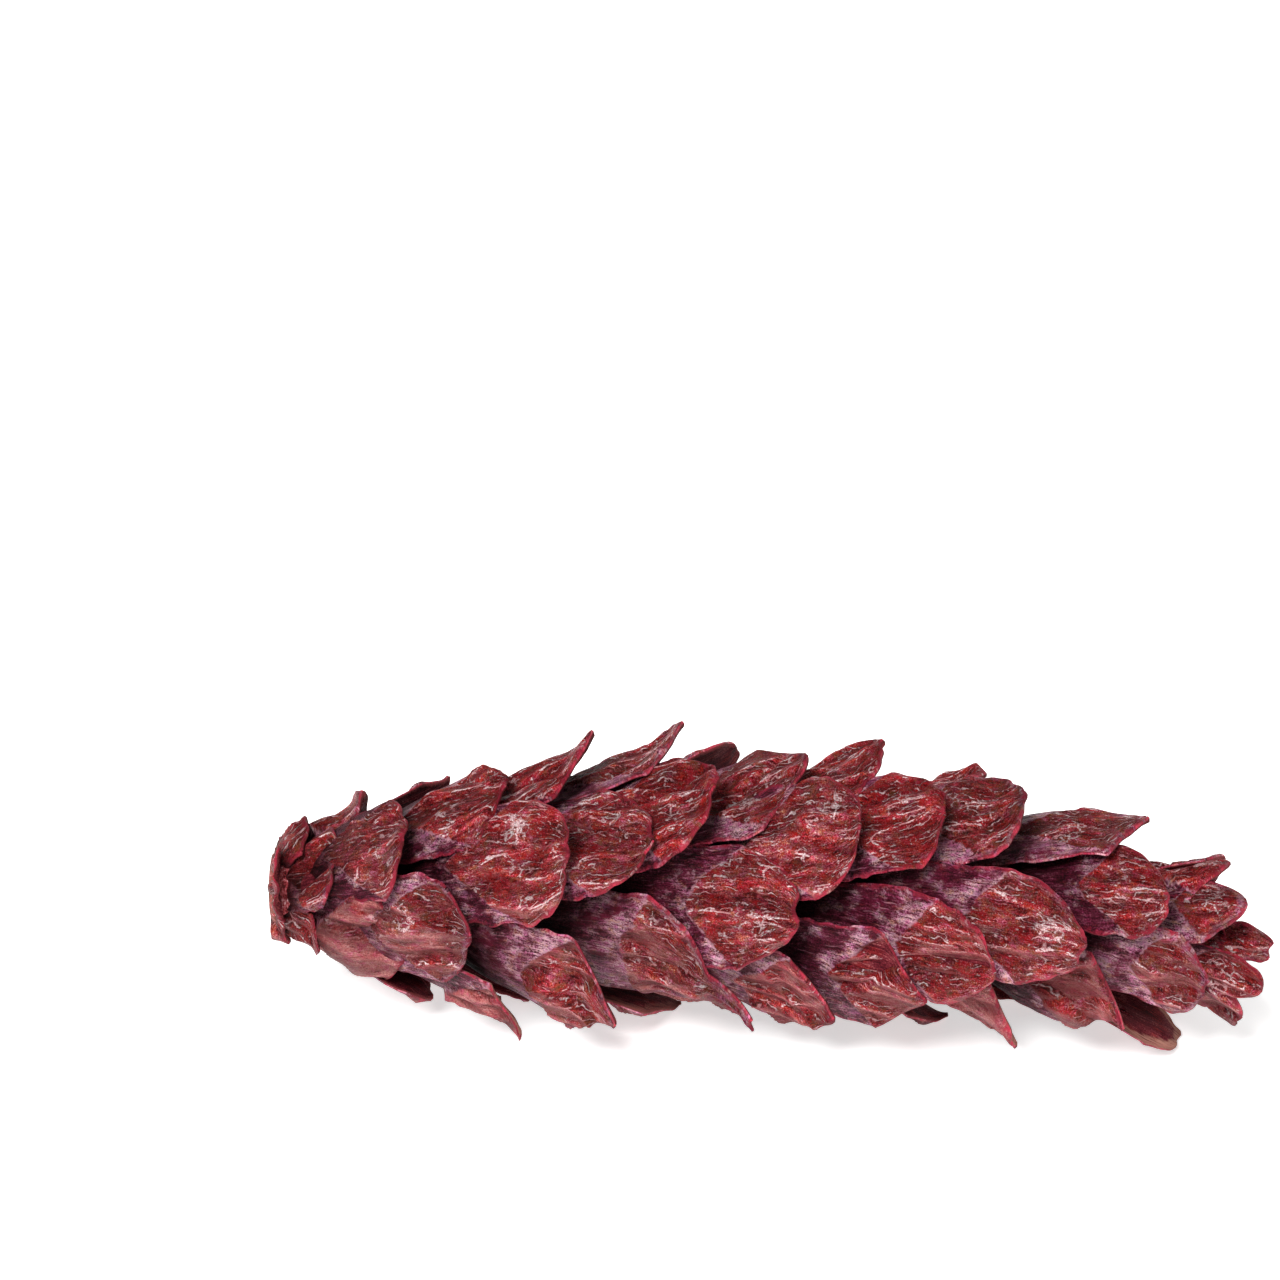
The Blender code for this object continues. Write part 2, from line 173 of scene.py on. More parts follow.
blade = {
    "rootHalfWidth": 0.0024,
    "tipHalfWidth": (0.0011, 0.0003),  # of a round tip and of a beaked one
    "tipBeaks": (0.2, 0.7),  # the beaks from which a tip is the one or the other
    "rootLift": 24.0,  # degrees
    "rootPull": 0.36,
    "tipPull": 0.30,
    "wedgePower": 1.1,
    "fullerAtBase": 1.5,  # how much fuller the covered part of the first scale is
    "fullerFade": 0.15,  # and how much of it goes with each number
    "roundPowers": (2.2, 0.62),
    "beakedPowers": (0.95, 1.5),
    "leastArch": 0.004,
    "thick": 0.0010,  # well inside a wide blade, and at its rim
    "thinRim": 0.00045,
    "thinOver": 0.0028,  # how far in from the rim it is thinner
    "coveredTo": 0.4,  # share of the blade, and the mesh rows up to it and past it
    "rowsCovered": 8,
    "rowsShown": 46,
    "rowsCrowd": 1.3,  # rows crowd towards the tip, and columns towards the rims
    "columns": 48,
    "columnsCrowd": 0.25,
    "seed": 1000,
}


def pastShoulder(scale, u):
    return np.clip((u - scale["shoulder"]) / (1 - scale["shoulder"]), 0, 1)


# half the width of the blade at a place from 0, its root, to 1, its tip
def outline(scale, u):
    widest = scale["halfWidth"]
    narrowest = min(blade["rootHalfWidth"], 0.5 * widest)
    fuller = 1 + max(0, blade["fullerAtBase"] - blade["fullerFade"] * scale["number"])
    wedge = np.sin(0.5 * math.pi * np.clip(u / scale["shoulder"], 0, 1))
    wedge = wedge ** (blade["wedgePower"] / scale.get("fuller", fuller))
    past = pastShoulder(scale, u)
    t = np.clip(past / scale.get("bodyEnd", 1.0), 0, 1)
    rounded = (1 - t ** blade["roundPowers"][0]) ** blade["roundPowers"][1]
    beaked = (1 - t ** blade["beakedPowers"][0]) ** blade["beakedPowers"][1]
    tipHalfWidth = float(np.interp(scale["beak"], blade["tipBeaks"], blade["tipHalfWidth"]))
    end = tipHalfWidth + (widest - tipHalfWidth) * (rounded + scale["beak"] * (beaked - rounded))
    end = (end ** 3 + (scale.get("tail", 0.0) * np.sqrt(1 - past)) ** 3) ** (1 / 3)
    return np.where(t > 0, end, narrowest + (widest - narrowest) * wedge)


# how far the cone's axis lies forward and down at a distance from the base
def bend(x):
    past = x - cone["bendStart"]
    softened = 0.5 * (past + np.sqrt(past ** 2 + cone["bendSoftness"] ** 2))
    atBase = 0.5 * (math.hypot(cone["bendStart"], cone["bendSoftness"]) - cone["bendStart"])
    return -cone["bendForward"] * (softened - atBase), -cone["bendDown"] * (softened - atBase)


# the blade's middle curve in the plane of the axis: along, outwards, and its slope
def midrib(scale, u):
    root = np.array([scale["root"], scale["rootRadius"]])
    tip = np.array([scale["tip"], scale["tipRadius"]])
    chord = np.linalg.norm(tip - root)
    leaving = math.atan2(tip[1] - root[1], tip[0] - root[0]) + math.radians(blade["rootLift"])
    arriving = math.radians(scale["tilt"])
    first = root + blade["rootPull"] * chord * np.array([math.cos(leaving), math.sin(leaving)])
    second = tip - blade["tipPull"] * chord * np.array([math.cos(arriving), math.sin(arriving)])
    t = u[..., None]
    s = 1 - t
    place = s ** 3 * root + 3 * s ** 2 * t * first + 3 * s * t ** 2 * second + t ** 3 * tip
    pace = s ** 2 * (first - root) + 2 * s * t * (second - first) + t ** 2 * (tip - second)
    return place[..., 0], place[..., 1], np.arctan2(pace[..., 1], pace[..., 0])


# points of the blade's sheet, with the directions outwards, across and along at each
def sheetPoints(scale, u, v):
    along, radius, slope = midrib(scale, u)
    out = np.array([0.0, math.cos(scale["angle"]), math.sin(scale["angle"])])
    side = np.array([0.0, -math.sin(scale["angle"]), math.cos(scale["angle"])])
    forward = np.array([1.0, 0.0, 0.0])
    face = np.cos(slope)[..., None] * out - np.sin(slope)[..., None] * forward
    tangent = np.sin(slope)[..., None] * out + np.cos(slope)[..., None] * forward
    turned = (math.radians(scale["twist"]) * u)[..., None]
    across = np.cos(turned) * side + np.sin(turned) * face
    outward = np.cos(turned) * face - np.sin(turned) * side
    end = pastShoulder(scale, u) ** 2
    middle = along[..., None] * forward + radius[..., None] * out
    middle = middle + (scale["curl"] * end)[..., None] * face
    middle = middle + (scale["lean"] * u ** 2 + scale["hook"] * end)[..., None] * side
    arc = v * outline(scale, u)
    arch = np.maximum(radius, blade["leastArch"]) * scale["arch"]
    points = middle + (arch * np.sin(arc / arch))[..., None] * across
    points = points - (arch * (1 - np.cos(arc / arch)))[..., None] * outward
    turnOut = (arc / arch)[..., None]
    normal = np.cos(turnOut) * outward + np.sin(turnOut) * across
    sideways = np.cos(turnOut) * across - np.sin(turnOut) * outward
    leaning, droop = bend(points[..., 0])
    points[..., 1] += leaning
    points[..., 2] += droop
    return points, normal, sideways, tangent


# heights of the relief, each size being that of a pattern, along and across the blade
relief = {
    "rimRagged": 0.00060,
    "notchSize": (0.0011, math.inf),
    "baySize": (0.0036, math.inf),
    "endRagged": 0.00060,
    "endNotchSize": (math.inf, 0.0010),
    "endBaySize": (math.inf, 0.0036),
    "fullHalfWidth": 0.009,  # narrower blades have less relief
    "earlyScales": 18,  # and the first ones are more crumpled
    "buckle": 0.00140,
    "buckleSize": (0.0085, 0.0068),
    "rimCurl": 0.00075,
    "curlSize": (0.006, math.inf),
    "faceBack": 0.23,  # share of the blade behind its widest place where the face begins at the midrib
    "faceBackAtBase": 0.36,  # and how much farther on the small scales at the base
    "faceBackSpread": 0.02,
    "borderWander": 0.00055,
    "wanderSize": (math.inf, 0.0016),
    "slowWanderSize": (math.inf, 0.005),
    "faceRaised": 0.00050,  # the shown face over the covered part
    "borderLip": 0.00018,
    "lipWidth": 0.0005,
    "sway": 0.0008,
    "swaySize": (0.0038, 0.0030),
    "veins": 0.00034,  # the fine ridges that run along the shown face
    "veinSize": (0.0072, 0.00150),
    "folds": 0.00105,
    "foldSize": (0.0046, 0.0030),
    "creases": 0.00115,
    "creasesEach": 2,
    "creaseSlant": 38,  # degrees, to either side
    "creaseSharp": 0.0006,
    "creaseStep": 0.0012,
    "creaseReach": 0.0030,
    "lumps": 0.00013,
    "lumpSize": (0.0013, 0.0009),
    "fibres": 0.00012,
    "fibreSize": (0.009, 0.00085),
    "rimBead": 0.00018,
    "beadWidth": 0.0004,
    "tipKnob": 0.00030,
    "knobSize": (0.0012, 0.0011),
    "hollows": 0.00014,  # of the inner side
    "hollowSize": (0.005, 0.0024),
    "leastHeight": 0.00006,  # over the table
    "pressing": 0.0006,
    "boxEasing": 0.0004,
    # these three bound the distance to a vein where a blade is narrow or a pattern is flat
    "leastStep": 1e-6,
    "leastSlope": 150.0,
    "farthestVein": 0.002,
}


# how far each place of a grid is from where its values cross zero
def distanceToZero(values, along, across):
    slopeAcross = np.gradient(values, axis=1) / np.maximum(np.gradient(across, axis=1), relief["leastStep"])
    slopeAlong = np.gradient(values, axis=0) - slopeAcross * np.gradient(across, axis=0)
    slopeAlong = slopeAlong / np.maximum(np.gradient(along, axis=0), relief["leastStep"])
    distance = values / np.maximum(np.hypot(slopeAcross, slopeAlong), relief["leastSlope"])
    return np.clip(distance, -relief["farthestVein"], relief["farthestVein"])


# smooth random heights, about -1 to 1, over places that are given in cells
def roughField(dice, x, y):
    x, y = x - x.min() + 1, y - y.min() + 1
    lattice = dice.uniform(-1.6, 1.6, (int(x.max()) + 4, int(y.max()) + 4))
    i, j = np.floor(x).astype(int), np.floor(y).astype(int)
    total = 0.0
    for a, wa in enumerate(splineWeights(x - i)):
        for b, wb in enumerate(splineWeights(y - j)):
            total = total + wa * wb * lattice[i + a - 1, j + b - 1]
    return total


def splineWeights(f):
    before, at = (1 - f) ** 3 / 6, (3 * f ** 3 - 6 * f ** 2 + 4) / 6
    return before, at, (-3 * f ** 3 + 3 * f ** 2 + 3 * f + 1) / 6, f ** 3 / 6


def eased(low, high, value):
    t = np.clip((value - low) / (high - low), 0, 1)
    return t * t * (3 - 2 * t)


# Spots of dried whitish paint: number of the scale, then across, back from the tip, and radius.
# A spot with a radius under lumpRadius is a lump of thick paint.
flecks = (
    (12, 0.0010, 0.0045, 0.0024),
    (15, -0.0035, 0.0100, 0.0030),
    (17, 0.0030, 0.0090, 0.0030),
    (20, -0.0035, 0.0090, 0.0040),
    (20, -0.0045, 0.0060, 0.0028),
    (25, -0.0040, 0.0060, 0.0030),
    (30, 0.0030, 0.0070, 0.0026),
    (33, -0.0062, 0.0125, 0.0018),
    (33, 0.0020, 0.0060, 0.0036),
    (35, 0.0040, 0.0100, 0.0034),
    (38, -0.0035, 0.0055, 0.0036),
    (40, 0.0010, 0.0100, 0.0030),
    (41, -0.0040, 0.0100, 0.0028),
    (43, -0.0040, 0.0070, 0.0034),
    (48, -0.0010, 0.0080, 0.0040),
    (51, -0.0010, 0.0045, 0.0040),
    (53, 0.0030, 0.0120, 0.0034),
    (58, 0.0010, 0.0040, 0.0030),
    (61, -0.0010, 0.0045, 0.0030),
    (64, 0.0000, 0.0040, 0.0024),
)
lumpRadius = 0.002

# scales whose paint is worn down to the wood, from 0 to 1
bareScales = {7: 0.1, 10: 0.75, 18: 0.7, 26: 0.3, 28: 0.15, 49: 0.7, 54: 0.35, 57: 0.8, 59: 0.2}


# 0 at the rim of a spot, 1 at its middle or 2 in a lump, and below 0 where there is none
def fleckOf(scale, along, across):
    fleck = 0 * along - 1
    for number, spotAcross, spotBack, radius in flecks:
        if number == scale["number"]:
            distance = np.hypot(across - spotAcross, along - (scale["long"] - spotBack))
            strength = 2.0 if radius < lumpRadius else 1.0
            fleck = np.maximum(fleck, strength * (1 - distance / radius))
    return fleck


# a blade that would reach through the table lies on it instead
def pressedFlat(points, height):
    over = points[..., 2] + cone["shift"][2] - height
    raised = 0.5 * (over + np.sqrt(over ** 2 + relief["pressing"] ** 2)) - over
    return points + raised[..., None] * np.array([0.0, 0.0, 1.0])


# one scale, as a grid of outer points and a grid of inner points that share their rim
def growBlade(scale):
    dice = np.random.default_rng(blade["seed"] + scale["number"])
    covered = np.linspace(0, blade["coveredTo"], blade["rowsCovered"], endpoint=False)
    shown = 1 - (1 - np.linspace(0, 1, blade["rowsShown"])) ** blade["rowsCrowd"]
    uLine = np.concatenate([covered, blade["coveredTo"] + (1 - blade["coveredTo"]) * shown])
    s = np.linspace(-1, 1, blade["columns"])
    vLine = (1 - blade["columnsCrowd"]) * s + blade["columnsCrowd"] * np.sin(0.5 * math.pi * s)
    u, v = np.meshgrid(uLine, vLine, indexing="ij")
    long, wide = scale["long"], scale["halfWidth"]
    past = pastShoulder(scale, u)
    along, across = u * long, v * outline(scale, u)

    def rough(kind, spread=1.0, shift=0.0):
        size = relief[kind + "Size"]
        return roughField(dice, along / size[0] / spread, (across + shift) / size[1] / spread)

    # the ragged outline: each side has its own bays, and the end its own notches
    notches = np.where(v > 0, rough("notch"), rough("notch"))
    bays = np.where(v > 0, rough("bay"), rough("bay"))
    ragged = (0.8 * notches + 1.4 * bays) * relief["rimRagged"] / max(wide, 0.003)
    ragged = 1 + ragged * np.abs(v) ** 6 * eased(0.1, 0.5, u)
    points, normal, sideways, tangent = sheetPoints(scale, u, v * ragged)
    endNotch = rough("endNotch") + 1.2 * rough("endBay")
    points = points + (relief["endRagged"] * endNotch * past ** 3)[..., None] * tangent

    # the sheet itself is buckled, and its rims curl; the small scales at the base are the most crumpled
    early = np.clip(1 - scale["number"] / relief["earlyScales"], 0, 1)
    size = min(1.0, wide / relief["fullHalfWidth"])
    spread = max(size, 0.45)
    size = size * (1 + 1.2 * max(early - 0.4, 0))
    buckle = rough("buckle", spread) * relief["buckle"] * size * (0.2 + 0.8 * eased(0.2, 0.7, u))
    curlSide = np.where(v > 0, dice.uniform(-0.6, 1.0), dice.uniform(-0.6, 1.0))
    curlAlong = 0.6 + 0.6 * rough("curl")
    rimCurl = relief["rimCurl"] * size * curlSide * curlAlong
    rimCurl = rimCurl * eased(0.55, 1.0, np.abs(v)) * eased(0.35, 0.8, u)
    points = points + (buckle + rimCurl)[..., None] * normal

    # the border between the covered part and the shown face, a V that opens towards the tip
    back = relief["faceBack"] + relief["faceBackAtBase"] * early + dice.normal(0, relief["faceBackSpread"])
    back = back + scale.get("face", 0.0)
    borderAt = scale["shoulder"] - 0.9 * max(early - 0.35, 0) - back * (1 - np.abs(v) ** 1.2)
    border = (u - borderAt) * long + relief["borderWander"] * (rough("wander") + rough("slowWander"))
    onFace = eased(-0.0004, 0.0005, border)
    rim = np.minimum((1 - np.abs(v)) * outline(scale, u), (1 - u) * long)
    inside = eased(0.0, 0.0012, rim)

    # ridges, folds and creases along the shown face, none of them quite straight
    sway = relief["sway"] * rough("sway")
    veins = rough("vein", shift=sway)
    ridges = 1 - 2.4 * np.minimum(np.abs(veins), 0.8)
    veins = distanceToZero(veins, along, across)
    folds = rough("fold", spread, sway)
    creased = 0 * u
    for crease in range(relief["creasesEach"]):
        slant = math.tan(math.radians(dice.uniform(-relief["creaseSlant"], relief["creaseSlant"])))
        offset = across - dice.uniform(-0.55, 0.55) * wide - slant * (along - 0.8 * long) + 2.0 * sway
        sharp = dice.choice([-1.0, 0.7]) * np.exp(-np.abs(offset) / relief["creaseSharp"])
        step = 0.5 * np.tanh(offset / relief["creaseStep"]) * np.exp(-np.abs(offset) / relief["creaseReach"])
        creased = creased + sharp + step
    lumps = rough("lump")
    crest = onFace * (0.5 * ridges + 0.5 * folds + 0.4 * creased)
    height = relief["veins"] * ridges + relief["folds"] * size * folds + relief["creases"] * size * creased
    height = height + relief["lumps"] * lumps
    height = height * onFace * inside + relief["faceRaised"] * onFace * (0.35 + 0.65 * inside)
    height = height + relief["borderLip"] * np.exp(-(border / relief["lipWidth"]) ** 2) * inside
    fibres = rough("fibre") + 0.5 * lumps
    height = height + (1 - onFace) * relief["fibres"] * fibres * inside
    bead = np.exp(-((rim - relief["beadWidth"]) / relief["beadWidth"]) ** 2)
    height = height + relief["rimBead"] * onFace * bead
    knobAlong, knobAcross = relief["knobSize"]
    knob = np.exp(-((1 - u) * long / knobAlong) ** 2 - (across / knobAcross) ** 2)
    height = height + relief["tipKnob"] * size * (0.3 + 0.7 * scale["beak"]) * knob
    thick = blade["thinRim"] + (blade["thick"] - blade["thinRim"]) * eased(0.0, blade["thinOver"], rim)
    thick = thick * (0.6 + 0.4 * size)
    hollow = rough("hollow") * relief["hollows"] * inside
    outer = pressedFlat(points + height[..., None] * normal, relief["leastHeight"])
    inner = pressedFlat(points + (hollow - thick)[..., None] * normal, relief["leastHeight"] + thick)

    # the rim is rounded by one more ring around both faces
    outer, inner, sideways, tangent = [np.pad(grid, ((1, 1), (1, 1), (0, 0)), mode="edge")
                                       for grid in (outer, inner, sideways, tangent)]
    edgeAcross, edgeAlong = np.zeros(outer.shape[:2]), np.zeros(outer.shape[:2])
    edgeAcross[:, 0], edgeAcross[:, -1] = -1, 1
    edgeAlong[0], edgeAlong[-1] = -1, 1
    outwards = edgeAcross[..., None] * sideways + edgeAlong[..., None] * tangent
    outwards /= np.maximum(np.linalg.norm(outwards, axis=-1, keepdims=True), 1)
    ring = 0.5 * (outer + inner) + 0.4 * np.pad(thick, 1, mode="edge")[..., None] * outwards
    onRing = (np.abs(edgeAcross) + np.abs(edgeAlong))[..., None] > 0
    outer, inner = np.where(onRing, ring, outer), np.where(onRing, ring, inner)
    grids = dict(u=u, v=v, along=along, across=across, border=border, rim=rim, crest=crest, veins=veins,
                 fleck=fleckOf(scale, along, across))
    grids = {name: np.pad(grid, 1, mode="edge") for name, grid in grids.items()}
    grids["rim"] = np.where(onRing[..., 0], 0, grids["rim"])
    return outer, inner, grids


paintSeed = 3000
patternStep = 37.0  # millimetres between the patterns of one scale and the next
innerPatterns = 1800  # and of the outer and the inner sides


# the marks that the finishes read, with all lengths in millimetres
def marksOf(scale, grids, isOuter):
    shape = grids["u"].shape
    tone, shade, bloom = np.random.default_rng(paintSeed + scale["number"]).uniform(0, 1, 3)
    whole = {"tone": scale.get("tone", tone), "shade": shade, "bloom": scale.get("bloom", bloom),
             "bared": bareScales.get(scale["number"], 0.0)}
    marks = {name: np.full(shape, value) for name, value in whole.items()}
    marks.update({name: grids[name] * 1000 for name in ("border", "rim", "veins")})
    marks.update(crest=grids["crest"], fleck=grids["fleck"], depth=grids["u"])
    offset = np.full(shape, patternStep * scale["number"] + (0 if isOuter else innerPatterns))
    fanned = 0.5 * (grids["across"] + grids["v"] * scale["halfWidth"])
    for name, sideways in (("place", grids["across"]), ("fan", fanned)):
        marks[name] = np.stack([sideways * 1000, grids["along"] * 1000, offset], axis=-1)
    return marks


cellShape = 1.3  # cells of a texture map across, over cells up
cellEdges = (0.03, 0.97)


# a row of scales as one mesh, with a texture map that gives each face of a blade its own cell
def meshRow(name, scales, materials):
    points, faces, slots, maps, marks = [], [], [], [], {}
    cellsAcross = math.ceil(math.sqrt(2 * len(scales) * cellShape))
    cellsUp = math.ceil(2 * len(scales) / cellsAcross)
    start = cell = 0
    for scale in scales:
        outer, inner, grids = growBlade(scale)
        nu, nv = outer.shape[:2]
        onInner = np.zeros((nu, nv), bool)
        onInner[1:-1, 1:-1] = True
        index = np.arange(nu * nv).reshape(nu, nv)
        innerIndex = index.copy()
        innerIndex[onInner] = nu * nv + np.arange(onInner.sum())
        points.extend([outer.reshape(-1, 3), inner[onInner]])
        marksInner = marksOf(scale, grids, False)
        for key, value in marksOf(scale, grids, True).items():
            marks.setdefault(key, []).append(value.reshape(nu * nv, -1))
            marks[key].append(marksInner[key][onInner].reshape(onInner.sum(), -1))
        rows, columns = np.linspace(*cellEdges, nu), np.linspace(*cellEdges, nv)
        place = np.stack(np.meshgrid(rows, columns, indexing="ij"), -1)[..., ::-1]
        for numbers, turn, slot in ((index, -1, 0), (innerIndex, 1, 1)):
            spot = np.array([cell % cellsAcross, cell // cellsAcross])
            mapped = (place + spot) / np.array([cellsAcross, cellsUp])
            corners, mapCorners = [[grid[:-1, :-1], grid[1:, :-1], grid[1:, 1:], grid[:-1, 1:]][::turn]
                                   for grid in (numbers, mapped)]
            faces.append(np.stack(corners, -1).reshape(-1, 4) + start)
            maps.append(np.stack(mapCorners, -2).reshape(-1, 2))
            slots.append(np.full(len(faces[-1]), slot))
            cell += 1
        start += nu * nv + onInner.sum()
    points, faces, slots, maps = [np.concatenate(values) for values in (points, faces, slots, maps)]
    marks = {key: np.concatenate(values) for key, values in marks.items()}
    return buildMesh(name, keptInBox(points + np.array(cone["shift"])), faces, slots, maps, marks, materials)


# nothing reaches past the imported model's box: eased in at its three high sides, cut off at the low ones
def keptInBox(points):
    low, high = (np.array(corner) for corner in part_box("pine_cone"))
    room = high - points
    softened = high - 0.5 * (room + np.sqrt(room ** 2 + relief["boxEasing"] ** 2))
    return np.clip(softened, low, high)


def buildMesh(name, points, faces, slots, mapped, marks, materials):
    mesh = bpy.data.meshes.new(name)
    mesh.from_pydata(points.tolist(), [], faces.tolist())
    mesh.polygons.foreach_set("material_index", slots.astype(np.int32))
    mesh.polygons.foreach_set("use_smooth", np.ones(len(faces), bool))
    layer = mesh.uv_layers.new(name="OFBake")
    layer.data.foreach_set("uv", mapped.astype(np.float32).ravel())
    for key, value in marks.items():
        kind, field = ("FLOAT_VECTOR", "vector") if value.shape[1] == 3 else ("FLOAT", "value")
        mark = mesh.attributes.new(key, kind, "POINT")
        mark.data.foreach_set(field, value.astype(np.float32).ravel())
    for material in materials:
        mesh.materials.append(material)
    mesh.update()
    made = bpy.data.objects.new(name, mesh)
    bpy.context.scene.collection.objects.link(made)
    return made


# the cone's woody axis, seen only deep in the gaps, at the base and under the last scales
axisForm = {
    "profile": ((0.0000, 0.0030), (0.0002, 0.0050), (0.0009, 0.0057), (0.0030, 0.0056), (0.0800, 0.0053),
                (0.1120, 0.0039), (0.1300, 0.0022), (0.1358, 0.0009)),  # distance from the base, radius
    "baseEnd": 0.004,  # up to here the rings are closer together
    "baseRings": 14,
    "rings": 150,
    "sides": 64,
    "lumps": 0.05,  # share of the radius
    "lumpLong": 0.002,
    "ridges": 0.00035,
    "ridgeCount": 9,
    "ridgeTwist": 300,  # radians to a metre
    "scarRings": (0.85, 0.7, 0.62, 0.45, 0.2),  # shares of the first radius
    "scarStart": 0.0001,
    "scarRadius": 0.0021,  # where the stalk was
    "scarDepth": 0.0007,
    "seed": 77,
}


def growAxis(material):
    dice = np.random.default_rng(axisForm["seed"])
    sides, baseEnd = axisForm["sides"], axisForm["baseEnd"]
    places, radii = (np.array(column) for column in zip(*axisForm["profile"]))
    base = np.linspace(0, baseEnd, axisForm["baseRings"], endpoint=False)
    x = np.concatenate([base, np.linspace(baseEnd, places[-1], axisForm["rings"])])
    turn = np.linspace(0, 2 * math.pi, sides, endpoint=False)
    grid, angle = np.meshgrid(x, turn, indexing="ij")
    count = axisForm["ridgeCount"]
    lumps = roughField(dice, grid / axisForm["lumpLong"], np.abs(angle / math.pi - 1) * count)
    ridges = np.sin(count * angle + axisForm["ridgeTwist"] * grid) * eased(0.001, 0.01, grid)
    radius = np.interp(grid, places, radii) * (1 + axisForm["lumps"] * lumps) + axisForm["ridges"] * ridges
    leaning, droop = bend(grid)
    points = np.stack([grid, radius * np.cos(angle) + leaning, radius * np.sin(angle) + droop], -1)

    # the base has the dished scar of the stalk, which is open in its middle, as the far end is
    scar = []
    for share in axisForm["scarRings"]:
        r = share * radii[0]
        sunk = axisForm["scarDepth"] * (1 - eased(0.8, 1.0, np.full_like(turn, r / axisForm["scarRadius"])))
        scar.append(np.stack([axisForm["scarStart"] + sunk, r * np.cos(turn), r * np.sin(turn)], -1))
    points = np.concatenate([np.array(scar[::-1]), points])
    rows = points.shape[0]
    index = np.arange(rows * sides).reshape(rows, sides)
    nextSide = np.roll(index, -1, axis=1)
    faces = np.stack([index[:-1], index[1:], nextSide[1:], nextSide[:-1]], -1).reshape(-1, 4)[:, ::-1]
    around, along = np.meshgrid(np.arange(sides) / sides, np.arange(rows) / rows)
    corners = [(1, 0), (1, 1), (0, 1), (0, 0)]
    mapped = [np.stack([around[:-1] + a / sides, along[:-1] + b / rows], -1) for a, b in corners]
    mapped = np.stack(mapped, -2)
    leaning, droop = bend(points[..., 0])
    place = np.stack([points[..., 1] - leaning, points[..., 0], points[..., 2] - droop], -1)
    return buildMesh("coneAxis", keptInBox(points.reshape(-1, 3) + np.array(cone["shift"])), faces,
                     np.zeros(len(faces), int), mapped.reshape(-1, 2), {"place": 1000 * place.reshape(-1, 3)},
                     [material])


# an sRGB hex value as the linear colour that shaders take
def toLinear(hexColour):
    channels = [int(hexColour[i:i + 2], 16) / 255 for i in (1, 3, 5)]
    return tuple(c / 12.92 if c <= 0.04045 else ((c + 0.055) / 1.055) ** 2.4 for c in channels) + (1.0,)


# adds a node with its settings, and its inputs as values or as links from other nodes
def addNode(tree, kind, inputs=None, **settings):
    node = tree.nodes.new("ShaderNode" + kind)
    for key, value in settings.items():
        setattr(node, key, value)
    for key, value in (inputs or {}).items():
        if isinstance(value, bpy.types.NodeSocket):
            tree.links.new(value, node.inputs[key])
        else:
            node.inputs[key].default_value = value
    return node


# a random pattern whose blotches are this many millimetres across and along a scale
def blotches(tree, spot, size, detail=3.0, rough=0.55):
    squeeze = {0: spot, 1: (1 / size[0], 1 / size[1], 1.0)}
    squeezed = addNode(tree, "VectorMath", squeeze, operation="MULTIPLY").outputs[0]
    pattern = {"Vector": squeezed, "Scale": 1.0, "Detail": detail, "Roughness": rough}
    return addNode(tree, "TexNoise", pattern).outputs["Fac"]


# the same place, shifted this many millimetres to and fro by a pattern of this size
def swayed(tree, spot, size, amount):
    squeeze = {0: spot, 1: (1 / size[0], 1 / size[1], 1.0)}
    squeezed = addNode(tree, "VectorMath", squeeze, operation="MULTIPLY").outputs[0]
    sway = addNode(tree, "TexNoise", {"Vector": squeezed, "Scale": 1.0, "Detail": 2.0}).outputs["Color"]
    shift = {0: sway, 1: (amount[0], amount[1], 0.0), 2: spot}
    return addNode(tree, "VectorMath", shift, operation="MULTIPLY_ADD").outputs[0]


# where a pattern is strong: 0 below the first level, most above the second, or falling if they fall
def stepped(tree, value, low, high, most=1.0):
    start, end = (0.0, most) if low < high else (most, 0.0)
    step = {"Value": value, "From Min": min(low, high), "From Max": max(low, high),
            "To Min": start, "To Max": end}
    return addNode(tree, "MapRange", step, interpolation_type="SMOOTHSTEP").outputs["Result"]


# where several patterns are strong together
def together(tree, *patterns):
    shared = patterns[0]
    for pattern in patterns[1:]:
        shared = addNode(tree, "Math", {0: shared, 1: pattern}, operation="MULTIPLY").outputs[0]
    return shared


# the sum of patterns, each with its own weight
def weighed(tree, *pairs):
    total = 0.0
    for value, weight in pairs:
        total = addNode(tree, "Math", {0: value, 1: weight, 2: total}, operation="MULTIPLY_ADD").outputs[0]
    return total


# how far a pattern is from a level, to either side
def awayFrom(tree, value, level):
    off = addNode(tree, "Math", {0: value, 1: level}, operation="SUBTRACT").outputs[0]
    return addNode(tree, "Math", {0: off}, operation="ABSOLUTE").outputs[0]


# distance in millimetres from the nearest of many lengthwise lines that are this far apart
def ruled(tree, spot, apart):
    across = addNode(tree, "SeparateXYZ", {0: spot}).outputs["X"]
    return addNode(tree, "Math", {0: across, 1: 0.5 * apart}, operation="PINGPONG").outputs[0]


# a line where a pattern crosses a level
def thread(tree, value, level, width):
    return stepped(tree, awayFrom(tree, value, level), width, 0.25 * width)


# Coats over a ground, each a colour and the patterns that say where it lies and how thick. With
# a multiplying blend they are washes that only darken and tint.
def coated(tree, ground, *coats, blend="MIX"):
    for coat, *patterns in coats:
        over, under = (toLinear(colour) if isinstance(colour, str) else colour for colour in (coat, ground))
        layer = {0: together(tree, *patterns), 6: under, 7: over}
        ground = addNode(tree, "Mix", layer, data_type="RGBA", blend_type=blend).outputs[2]
    return ground


toneLevels = (-1.9, -1.0, -0.35, 0.35, 1.0, 1.75, 2.6)


